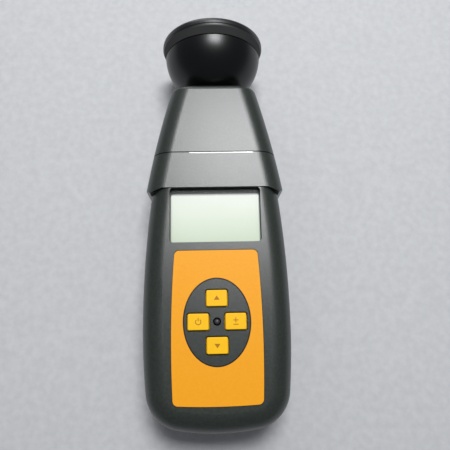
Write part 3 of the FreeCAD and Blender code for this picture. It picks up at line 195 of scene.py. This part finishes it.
# Reliefs that several materials share
Relief = namedtuple("Relief", "scale detail strength depth")
FILM_GRAIN = Relief(GRAIN, detail=2.0, strength=0.08, depth=0.06 * MM)
RUB_MARKS = Relief(GRAIN, detail=2.0, strength=0.06, depth=0.04 * MM)
UNEVENNESS = Relief(MOTTLE, detail=2.0, strength=0.05, depth=0.2 * MM)

# Material helpers


def principled(made):
    """The material's own shader node."""
    return made.node_tree.nodes["Principled BSDF"]


def shader(name, colour, roughness, **settings):
    """A Principled material. Settings are the shader's own sockets, with _ for each space."""
    made = bpy.data.materials.new(name)
    made.use_nodes = True
    sockets = principled(made).inputs
    sockets["Base Color"].default_value = colour
    sockets["Roughness"].default_value = roughness
    for socket, value in settings.items():
        sockets[socket.replace("_", " ")].default_value = value
    return made


def feed(tree, socket, value):
    """Sets a socket to a value, or links it where the value is another socket."""
    if isinstance(value, bpy.types.NodeSocket):
        tree.links.new(value, socket)
    else:
        socket.default_value = value


def add(tree, kind, **inputs):
    """A node of that kind. Inputs are its sockets, with _ for each space."""
    made = tree.nodes.new(kind)
    for socket, value in inputs.items():
        feed(tree, made.inputs[socket.replace("_", " ")], value)
    return made


def place(tree):
    """Object coordinates, which are metres in the row frame."""
    return tree.nodes.new("ShaderNodeTexCoord").outputs["Object"]


def place_parts(tree):
    """The X, Y and Z of the object coordinates, each as a socket."""
    return add(tree, "ShaderNodeSeparateXYZ", Vector=place(tree)).outputs


def noise(tree, scale, detail=3.0, roughness=0.5):
    """A noise from 0 to 1."""
    made = add(tree, "ShaderNodeTexNoise", Vector=place(tree), Scale=scale, Detail=detail,
               Roughness=roughness)
    return made.outputs["Fac"]


def ramp(tree, factor, tones, turn):
    """A colour that goes from one tone to the other while the factor crosses the turn."""
    made = add(tree, "ShaderNodeValToRGB", Fac=factor)
    for element, spot, tone in zip(made.color_ramp.elements, turn, tones):
        element.position = spot
        element.color = tone
    return made.outputs["Color"]


def spread(tree, factor, low, high, start=0.0, end=1.0):
    """Maps factor from start..end to low..high."""
    made = add(tree, "ShaderNodeMapRange", Value=factor, From_Min=start, From_Max=end, To_Min=low,
               To_Max=high)
    return made.outputs["Result"]


def soft_step(tree, factor, edge, blur):
    """0 before the edge and 1 past it, with a slope over the blur on both sides."""
    return spread(tree, factor, 0.0, 1.0, edge - blur, edge + blur)


def reckon(tree, operation, *values):
    """The result of a Math node on numbers or sockets."""
    made = tree.nodes.new("ShaderNodeMath")
    made.operation = operation
    for socket, value in zip(made.inputs, values):
        feed(tree, socket, value)
    return made.outputs["Value"]


def colour_by(made, factor, tones, turn):
    """Colours the material by a factor."""
    tree = made.node_tree
    tree.links.new(ramp(tree, factor, tones, turn), principled(made).inputs["Base Color"])


def roughness_by(made, factor, rough):
    """Gives the material the first roughness where the factor is 0, and the second where it is 1."""
    tree = made.node_tree
    low, high = rough
    tree.links.new(spread(tree, factor, low, high), principled(made).inputs["Roughness"])


def emboss(made, *reliefs):
    """Gives the material bumps, one relief on top of the other."""
    tree = made.node_tree
    normal = None
    for relief in reliefs:
        height = noise(tree, relief.scale, relief.detail)
        bump = add(tree, "ShaderNodeBump", Height=height, Strength=relief.strength, Distance=relief.depth)
        if normal is not None:
            tree.links.new(normal, bump.inputs["Normal"])
        normal = bump.outputs["Normal"]
    tree.links.new(normal, principled(made).inputs["Normal"])


# Materials


def moulded(name, tones, rough, grain=0.35, shine=0.5):
    """Spark-eroded plastic: a fine grain, small flecks and a slightly uneven gloss."""
    made = shader(name, tones[0], rough[0], Specular_IOR_Level=shine)
    tree = made.node_tree
    colour_by(made, noise(tree, FLECK, detail=4.0), tones, FLECK_TURN)
    roughness_by(made, noise(tree, FLECK), rough)
    emboss(made, Relief(GRAIN, detail=2.0, strength=grain, depth=0.12 * MM),
           Relief(FINE_GRAIN, detail=1.0, strength=grain / 2, depth=0.05 * MM))
    return made


def overlay(name, tones, roughness=0.48, shine=0.28):
    """A printed panel, a plain cap or a flat painted shade: an even colour under a satin film."""
    made = shader(name, tones[0], roughness, Specular_IOR_Level=shine)
    colour_by(made, noise(made.node_tree, FLECK), tones, FILM_TURN)
    emboss(made, FILM_GRAIN)
    return made


def polished(name, tones, rough, shine=0.5):
    """Glossy moulding with a slight unevenness and faint rub marks."""
    made = shader(name, tones[0], rough[0], Specular_IOR_Level=shine)
    tree = made.node_tree
    colour_by(made, noise(tree, CLOUD), tones, CLOUD_TURN)
    roughness_by(made, noise(tree, MOTTLE, detail=5.0, roughness=0.6), rough)
    emboss(made, UNEVENNESS, RUB_MARKS)
    return made


def metal(name, colour, rough, scratches=0.2):
    """Bare metal with fine scratches and an uneven gloss."""
    made = shader(name, colour, rough[0], Metallic=1.0)
    roughness_by(made, noise(made.node_tree, BRUSHING, detail=4.0), rough)
    emboss(made, Relief(SCRATCH, detail=3.0, strength=scratches, depth=0.03 * MM))
    return made


def clear(name, tint, rough, alpha):
    """A thin clear pane: mostly see-through, with its own gloss."""
    made = shader(name, tint, rough[0], Alpha=alpha)
    roughness_by(made, noise(made.node_tree, CLOUD), rough)
    return made


def glass(name, tint, roughness, bending=1.49):
    """Solid clear glass or acrylic, slightly uneven. Bending is how much it bends light."""
    made = shader(name, tint, roughness, IOR=bending, Transmission_Weight=1.0)
    emboss(made, Relief(CLOUD, detail=2.0, strength=0.02, depth=0.2 * MM))
    return made


def ring_face(name, tone, rear_rough, front_rough, shine):
    """The cup's ring: matt on the sloped rear band and satin on the front band."""
    made = shader(name, tone, front_rough, Specular_IOR_Level=shine)
    tree = made.node_tree
    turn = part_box("cup_ring")[0].y + RING_GLOSS
    front = soft_step(tree, place_parts(tree)["Y"], turn, RING_GLOSS_BLUR)
    roughness_by(made, front, (rear_rough, front_rough))
    emboss(made, UNEVENNESS, RUB_MARKS)
    return made


def outside_box(tree, x, y, half_x, half_y):
    """How far a place lies outside a box round zero."""
    beside = reckon(tree, "SUBTRACT", reckon(tree, "ABSOLUTE", x), half_x)
    above = reckon(tree, "SUBTRACT", reckon(tree, "ABSOLUTE", y), half_y)
    across = reckon(tree, "POWER", reckon(tree, "MAXIMUM", beside, 0.0), 2.0)
    along = reckon(tree, "POWER", reckon(tree, "MAXIMUM", above, 0.0), 2.0)
    return reckon(tree, "SQRT", reckon(tree, "ADD", across, along))


def painted_display_shade(tree, spot, low, high):
    """The painted shade on the display: 1 on the painted shadow band under the hood and outside its rounded
    frame of painted recess shade, and 0 within.
    """
    top = high.y - GLASS_MARGIN - HOOD_SHADOW
    shadow_band = soft_step(tree, spot["Y"], top, HOOD_SHADOW_BLUR)
    frame_top = top + SHADE_FRAME_RISE
    frame_foot = low.y + GLASS_MARGIN + SHADE_FRAME_FOOT
    half_x = high.x - GLASS_MARGIN - SHADE_FRAME_SIDE - SHADE_FRAME_CORNER
    half_y = (frame_top - frame_foot) / 2 - SHADE_FRAME_CORNER
    middle = reckon(tree, "SUBTRACT", spot["Y"], (frame_top + frame_foot) / 2)
    away = outside_box(tree, spot["X"], middle, half_x, half_y)
    return reckon(tree, "MAXIMUM", shadow_band, soft_step(tree, away, SHADE_FRAME_CORNER, SHADE_FRAME_BLUR))


def display_face(name, tones, roughness, shine):
    """Switched-off liquid crystal: pale green-grey, with a painted sheen that makes it paler to its top, a
    painted shadow under the hood and painted shade round it.
    """
    made = shader(name, tones[0], roughness, Specular_IOR_Level=shine)
    tree = made.node_tree
    low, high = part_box("display_glass")
    spot = place_parts(tree)
    # Painted sheen: the display turns paler towards its top
    height = spread(tree, spot["Y"], 0.0, 1.0, low.y, high.y)
    # Painted shade: the hood's shadow and the shaded recess walls darken the display's edges
    mixed = add(tree, "ShaderNodeMixRGB", Fac=painted_display_shade(tree, spot, low, high),
                Color1=ramp(tree, height, tones, WHOLE), Color2=DISPLAY_SHADE)
    tree.links.new(mixed.outputs["Color"], principled(made).inputs["Base Color"])
    emboss(made, Relief(RIPPLE, detail=1.0, strength=0.02, depth=0.1 * MM))
    return made


EPOXY = moulded("chip_epoxy", CHIP_TONES, rough=(0.5, 0.6), grain=0.2)

# The material of each slot in the record
FINISHES = {
    "housing": moulded("housing_plastic", HOUSING_TONES, rough=(0.32, 0.38), shine=0.75),
    "panel": overlay("panel_print", PANEL_TONES),
    "key": overlay("key_plastic", KEY_TONES),
    "window": clear("window_pane", PANE_TINT, rough=(0.05, 0.09), alpha=0.04),
    "display": display_face("display_face", DISPLAY_SHEEN_TONES, roughness=0.65, shine=0.3),
    "lamp_lens": polished("indicator_lens", INDICATOR_TONES, rough=(0.25, 0.35)),
    "cup": polished("cup_plastic", CUP_TONES, rough=(0.28, 0.34), shine=0.45),
    "ring": ring_face("ring_plastic", CUP_TONES[0], rear_rough=0.88, front_rough=0.38, shine=0.9),
    "mirror": metal("mirror_coat", MIRROR, rough=(0.12, 0.27), scratches=0.05),
    "tube_glass": glass("tube_glass", TUBE_TINT, roughness=0.0),
    "ceramic": moulded("ceramic", CERAMIC_TONES, rough=(0.6, 0.7), grain=0.15),
    "rubber": moulded("black_rubber", RUBBER_TONES, rough=(0.6, 0.75), grain=0.2),
    "rubber_pale": moulded("pale_rubber", PALE_RUBBER_TONES, rough=(0.55, 0.65), grain=0.15),
    "holder": moulded("holder_plastic", HOLDER_TONES, rough=(0.5, 0.6), grain=0.1),
    "board": polished("board_lacquer", BOARD_TONES, rough=(0.3, 0.4)),
    "chip": EPOXY,
    "capacitor": EPOXY,
    "ferrite": EPOXY,
    "steel": metal("steel", STEEL, rough=(0.3, 0.45)),
    "screw_black": metal("black_steel", BLACK_STEEL, rough=(0.35, 0.5)),
    "copper": metal("copper", COPPER, rough=(0.3, 0.45)),
    "cell": polished("cell_sleeve", CELL_TONES, rough=(0.3, 0.42)),
    "lead_red": polished("lead_sleeve", LEAD_TONES, rough=(0.4, 0.5)),
}

# Materials of the front lens and of the pieces made here
LENS = glass("lens_glass", LENS_TINT, roughness=0.02)
LEGEND_INK = overlay("legend_ink", LEGEND_TONES)
# Painted shade round the keys and along the keypad's oval
GAP_SHADE = overlay("painted_gap_shade", GAP_SHADE_TONES)
# Painted glint along the hood's edge at the seam
GLINT = polished("hood_edge_painted_glint", GLINT_TONES, rough=(0.12, 0.16), shine=1.0)


def wear(thing, made):
    """Gives a CAD node one material."""
    thing.data.materials.clear()
    thing.data.materials.append(made)


def dress_nodes():
    """Gives each carried-over node the material of its slot in the record."""
    for part in frame["record"]["subparts"]:
        wear(NODES[part["node"]], FINISHES[part["material_slot"]])
    wear(NODES["front_lens"], LENS)


# Objects and outlines


def put(name, data):
    """A new object in the scene."""
    thing = bpy.data.objects.new(name, data)
    bpy.context.scene.collection.objects.link(thing)
    return thing


def mesh_object(name, form, made):
    """Turns a bmesh into an object with one material."""
    mesh = bpy.data.meshes.new(name)
    form.to_mesh(mesh)
    form.free()
    mesh.materials.append(made)
    return put(name, mesh)


def thin_piece(name, form, made, body):
    """Turns a bmesh into a piece that rides on a body."""
    piece = mesh_object(name, form, made)
    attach(piece, body)


def flat_shape(form, points, face):
    """A closed prism on an outline, just proud of a face at that height."""
    lower = [form.verts.new((x, y, face - PRINT_SUNK)) for x, y in points]
    upper = [form.verts.new((x, y, face + PRINT_PROUD)) for x, y in points]
    form.faces.new(list(reversed(lower)))
    form.faces.new(upper)
    for i, _ in enumerate(points):
        after = (i + 1) % len(points)
        form.faces.new((lower[i], lower[after], upper[after], upper[i]))


def band_shape(form, outer, inner, face):
    """A flat band between two closed outlines that have as many points, just proud of a face."""
    low, high = face - PRINT_SUNK, face + PRINT_PROUD
    corners = ((outer, low), (outer, high), (inner, high), (inner, low))
    loops = [[form.verts.new((x, y, z)) for x, y in points] for points, z in corners]
    for one, other in zip(loops, loops[1:] + loops[:1]):
        for i, _ in enumerate(one):
            after = (i + 1) % len(one)
            form.faces.new((one[i], one[after], other[after], other[i]))


def arc(centre, radius, turns):
    """The points of an arc at those turns, which are radians from +X."""
    return [(centre[0] + radius * math.cos(turn), centre[1] + radius * math.sin(turn)) for turn in turns]


def arc_band(centre, radius, width, start, end):
    """The outline of a bent bar: start and end are degrees from +X."""
    turns = [math.radians(start + (end - start) * i / ARC_STEPS) for i in range(ARC_STEPS + 1)]
    return arc(centre, radius, turns) + arc(centre, radius - width, reversed(turns))


def bar(centre, half_x, half_y):
    """The outline of a straight bar."""
    ways = ((-1, -1), (1, -1), (1, 1), (-1, 1))
    return [(centre[0] + way_x * half_x, centre[1] + way_y * half_y) for way_x, way_y in ways]


def rounded_bar(centre, half_x, half_y, corner):
    """The outline of a bar with rounded corners."""
    points = []
    for way_x, way_y, start in ((1, 1, 0), (-1, 1, 90), (-1, -1, 180), (1, -1, 270)):
        middle = (centre[0] + way_x * (half_x - corner), centre[1] + way_y * (half_y - corner))
        turns = [math.radians(start + 90 * i / CORNER_STEPS) for i in range(CORNER_STEPS + 1)]
        points += arc(middle, corner, turns)
    return points


def ellipse(centre, half_x, half_y):
    """The outline of an ellipse."""
    turns = [2 * math.pi * i / OVAL_STEPS for i in range(OVAL_STEPS)]
    return [(centre[0] + half_x * math.cos(turn), centre[1] + half_y * math.sin(turn)) for turn in turns]


# Keys, keypad and hood


def key_centre(key):
    """The middle of a key, seen from the front."""
    low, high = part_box(key)
    return ((low.x + high.x) / 2, (low.y + high.y) / 2)


def arrow_mark(centre, way):
    """A filled triangle that points along +Y where way is 1, and along -Y where it is -1."""
    x, y = centre
    foot = y - way * ARROW_FOOT
    points = [(x - ARROW_HALF, foot), (x + ARROW_HALF, foot), (x, y + way * ARROW_TIP)]
    return [points if way > 0 else points[::-1]]


def standby_mark(centre):
    """A ring open at its top, with a line through the gap."""
    x, y = centre
    return [arc_band(centre, MARK, STROKE, STANDBY_START, STANDBY_END),
            bar((x, y + STANDBY_RISE), STROKE / 2, STANDBY_HALF)]


def plus_minus_mark(centre):
    """A plus over a minus. The plus is a bar with an arm above and below it."""
    x, y = centre
    plus = y + PLUS_RISE
    return [bar((x, plus), SIGN_HALF, STROKE / 2),
            bar((x, plus + ARM_REACH), STROKE / 2, ARM_HALF),
            bar((x, plus - ARM_REACH), STROKE / 2, ARM_HALF),
            bar((x, y - MINUS_DROP), SIGN_HALF, STROKE / 2)]


def build_marks():
    """The mark printed on each key."""
    marks = {
        "key_up": arrow_mark(key_centre("key_up"), 1),
        "key_down": arrow_mark(key_centre("key_down"), -1),
        "key_left": standby_mark(key_centre("key_left")),
        "key_right": plus_minus_mark(key_centre("key_right")),
    }
    for key, outlines in marks.items():
        form = bmesh.new()
        for outline in outlines:
            flat_shape(form, outline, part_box(key)[1].z)
        thin_piece(key + "_mark", form, LEGEND_INK, key)


def build_glint():
    """A painted glint on the hood's edge at the seam: a flat, pale, glossy strip just proud of its face."""
    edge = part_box("head_cap")[0].y - SEAM_GAP
    middle = ((GLINT_START + GLINT_END) / 2, edge - GLINT_HALF)
    form = bmesh.new()
    flat_shape(form, bar(middle, (GLINT_END - GLINT_START) / 2, GLINT_HALF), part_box("front_shell")[1].z)
    thin_piece("hood_edge_painted_glint", form, GLINT, "case")


def build_key_shade():
    """A thin line of painted shade round each key's opening, where the gap lies in shade."""
    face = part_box("front_panel")[1].z
    for key in KEYS:
        centre = key_centre(key)
        outer, inner = [rounded_bar(centre, KEY_HALF_X + grow, KEY_HALF_Y + grow, KEY_CORNER + grow)
                        for grow in (KEY_GAP + GAP_SHADE_WIDTH, KEY_GAP)]
        form = bmesh.new()
        band_shape(form, outer, inner, face)
        thin_piece(key + "_gap_shade", form, GAP_SHADE, "case")


def build_keypad_shade():
    """A thin line of painted shadow along the panel's oval cut-out."""
    centre = (0.0, (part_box("key_up")[1].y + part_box("key_down")[0].y) / 2)
    outer, inner = [ellipse(centre, OVAL_HALF_X + grow, OVAL_HALF_Y + grow) for grow in (OVAL_OUT, -OVAL_IN)]
    form = bmesh.new()
    band_shape(form, outer, inner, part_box("front_panel")[1].z)
    thin_piece("keypad_shade", form, GAP_SHADE, "case")


def soften_domes():
    """Gives each rubber dome a mesh of its own."""
    for key in KEYS:
        dome = key.replace("key_", "key_dome_")
        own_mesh(NODES[dome])


# Floor


def floor_height(y, touch, slope):
    """The floor at y: level behind the place where the tail touches it, falling ahead of it, with a soft
    bend between the two."""
    bend = (y - touch) / FLOOR_BEND
    ahead = max(bend, 0.0) + math.log1p(math.exp(-abs(bend)))
    return -FLOOR_GAP - slope * FLOOR_BEND * ahead


def build_floor():
    """A pale sheet that carries the lamp ring and the tail. It runs level behind the tail, so that the
    battery door slides out above it."""
    ring_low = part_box("cup_ring")[0]
    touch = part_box("rear_shell")[0].y + TAIL_ROUNDING
    slope = (-FLOOR_GAP - ring_low.z) / (ring_low.y + RING_BAND - touch)
    steps = [FLOOR_FINE * i for i in range(-FLOOR_ROWS, FLOOR_ROWS + 1)]
    form = bmesh.new()
    rows = []
    for y in [-FLOOR_REACH] + steps + [FLOOR_REACH]:
        z = floor_height(y, touch, slope)
        rows.append([form.verts.new((x, y, z)) for x in (-FLOOR_REACH, FLOOR_REACH)])
    for near, far in zip(rows, rows[1:]):
        form.faces.new((near[0], near[1], far[1], far[0])).smooth = True
    paper = shader("floor_paper", FLOOR_TONES[1], roughness=0.85)
    colour_by(paper, noise(paper.node_tree, FIBRE, detail=4.0), FLOOR_TONES, FILM_TURN)
    mesh_object("floor", form, paper)


# Camera and light

IMAGE_WIDTH = 450
FOCAL_PIXELS = 450.0
SENSOR = 36.0
CLIP_START = 0.01
CAMERA_PLACE = Vector((-0.96, -52.0, 257.92)) * MM
CAMERA_PITCH = -0.206
CAMERA_ROLL = 0.021
CAMERA_YAW = 0.026
WORLD_COLOUR = (0.92, 0.95, 1.0, 1.0)
WORLD_STRENGTH = 0.17


def build_camera():
    """The camera at the photograph's viewing angle. Its turns are in radians."""
    data = bpy.data.cameras.new("camera")
    data.sensor_width = SENSOR
    data.lens = SENSOR * FOCAL_PIXELS / IMAGE_WIDTH
    data.clip_start = CLIP_START
    camera = put("camera", data)
    turn = (Matrix.Rotation(CAMERA_ROLL, 4, "Z") @ Matrix.Rotation(CAMERA_PITCH, 4, "X")
            @ Matrix.Rotation(CAMERA_YAW, 4, "Y"))
    camera.matrix_world = Matrix.Translation(CAMERA_PLACE) @ turn.transposed()
    bpy.context.scene.camera = camera


def lamp(name, where, aim, size, power, colour):
    """A soft rectangular lamp, with its places and size in metres and its power in watts."""
    data = bpy.data.lights.new(name, "AREA")
    data.shape = "RECTANGLE"
    data.size, data.size_y = size
    data.energy = power
    data.color = colour
    thing = put(name, data)
    thing.location = where
    thing.rotation_euler = (Vector(aim) - Vector(where)).to_track_quat("-Z", "Y").to_euler()


def build_light():
    """Two lamps and a dim, even world."""
    lamp("studio_light", where=(0.08, 0.37, 0.89), aim=(0.0, 0.0, 0.02), size=(0.36, 0.30), power=8.3,
         colour=(0.98, 0.99, 1.0))
    lamp("front_fill", where=(-0.25, 1.3, 0.5), aim=(0.0, 0.1, 0.02), size=(0.8, 0.6), power=4.2,
         colour=(1.0, 1.0, 1.0))
    world = bpy.data.worlds.new("world")
    world.use_nodes = True
    background = world.node_tree.nodes["Background"]
    background.inputs["Color"].default_value = WORLD_COLOUR
    background.inputs["Strength"].default_value = WORLD_STRENGTH
    bpy.context.scene.world = world
    bpy.context.scene.view_settings.view_transform = "Standard"


dress_nodes()
build_marks()
build_glint()
build_key_shade()
build_keypad_shade()
soften_domes()
build_floor()
build_camera()
build_light()
